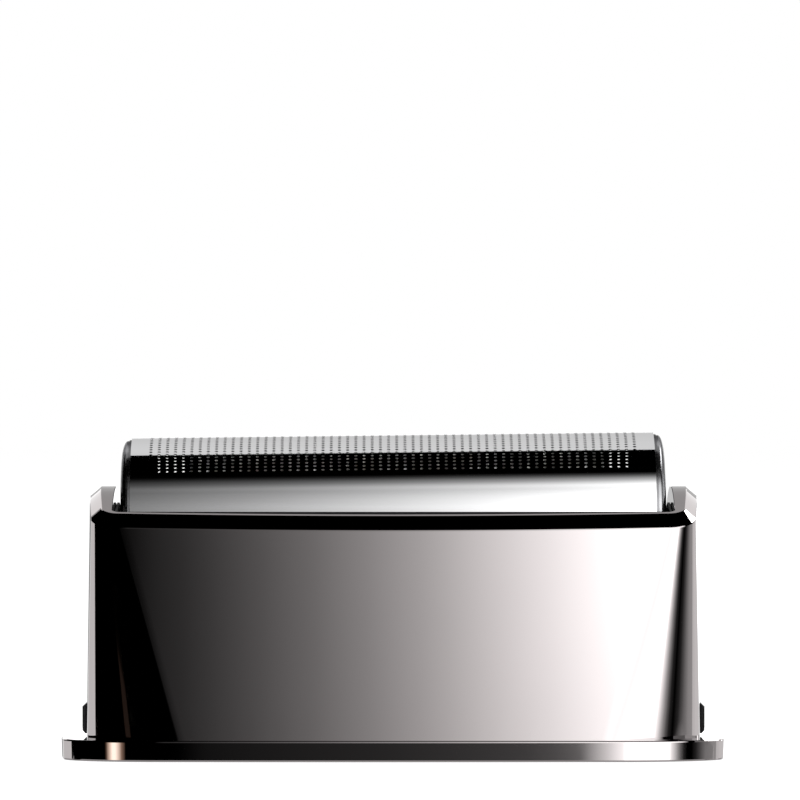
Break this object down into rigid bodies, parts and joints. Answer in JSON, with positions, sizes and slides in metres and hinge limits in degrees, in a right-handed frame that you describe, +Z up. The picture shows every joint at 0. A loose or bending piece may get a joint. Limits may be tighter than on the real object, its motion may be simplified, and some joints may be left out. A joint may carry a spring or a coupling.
{
  "type": "shaver foil head",
  "caption": "Foil shaver head: arched perforated foil floating over a row of reciprocating blades in a dark chromed housing with a base flange and side release buttons.",
  "frame": {"origin": "middle of the flange's underside", "axes": "+Z up towards the foil, +X along the foil's length, -Y the front"},
  "size_m": [0.0562, 0.0236, 0.0273],
  "materials": {
    "black_chrome": "dark chrome plating, mirror polish",
    "foil_steel": "bright rolled foil",
    "blade_steel": "ground edges",
    "polished_steel": "polished",
    "spring_steel": "rolled strip",
    "screw_steel": "zinc plated",
    "brass": "turned",
    "grey_plastic": "fine moulded grain",
    "black_plastic": "fine moulded grain",
    "white_plastic": "natural acetal"
  },
  "bodies": {
    "shell": {"housing": "black_chrome", "chassis": "black_plastic", "chassis_screws": "screw_steel", "guide_rods": "polished_steel", "float_spring_left": "spring_steel", "float_spring_right": "spring_steel", "button_spring_left": "spring_steel", "button_spring_right": "spring_steel"},
    "foil_cassette": {"foil": "foil_steel", "foil_frame": "black_plastic", "end_cap_left": "grey_plastic", "end_cap_right": "grey_plastic", "foil_clamp_front": "polished_steel", "foil_clamp_back": "polished_steel"},
    "carriage": {"cutter_carriage": "white_plastic", "drive_bush": "brass", "cutter_spring": "spring_steel"},
    "cutter_head": {"blade_holder": "white_plastic", "cutter_blades": "blade_steel"},
    "release_left": {"release_button_left": "black_plastic"},
    "release_right": {"release_button_right": "black_plastic"}
  },
  "joints": [
    {"name": "foil_float", "type": "slide", "parent": "shell", "child": "foil_cassette", "axis": [0, 0, -1], "range_m": [0, 0.0015], "stiffness_N_per_m": 600, "springref_m": -0.001, "deforming": ["float_spring_left", "float_spring_right"]},
    {"name": "cutter_stroke", "type": "slide", "parent": "shell", "child": "carriage", "axis": [1, 0, 0], "range_m": [-0.0015, 0.0009]},
    {"name": "cutter_follow", "type": "slide", "parent": "carriage", "child": "cutter_head", "axis": [0, 0, -1], "range_m": [0, 0.0015], "stiffness_N_per_m": 300, "springref_m": -0.001, "deforming": ["cutter_spring"]},
    {"name": "release_left", "type": "slide", "parent": "shell", "child": "release_left", "axis": [1, 0, 0], "range_m": [0, 0.0007], "stiffness_N_per_m": 800, "springref_m": -0.0005, "deforming": ["button_spring_left"]},
    {"name": "release_right", "type": "slide", "parent": "shell", "child": "release_right", "axis": [-1, 0, 0], "range_m": [0, 0.0007], "stiffness_N_per_m": 800, "springref_m": -0.0005, "deforming": ["button_spring_right"]}
  ],
  "couplings": [
    {"joint": "cutter_follow", "follows": "foil_float", "ratio": 1}
  ]
}
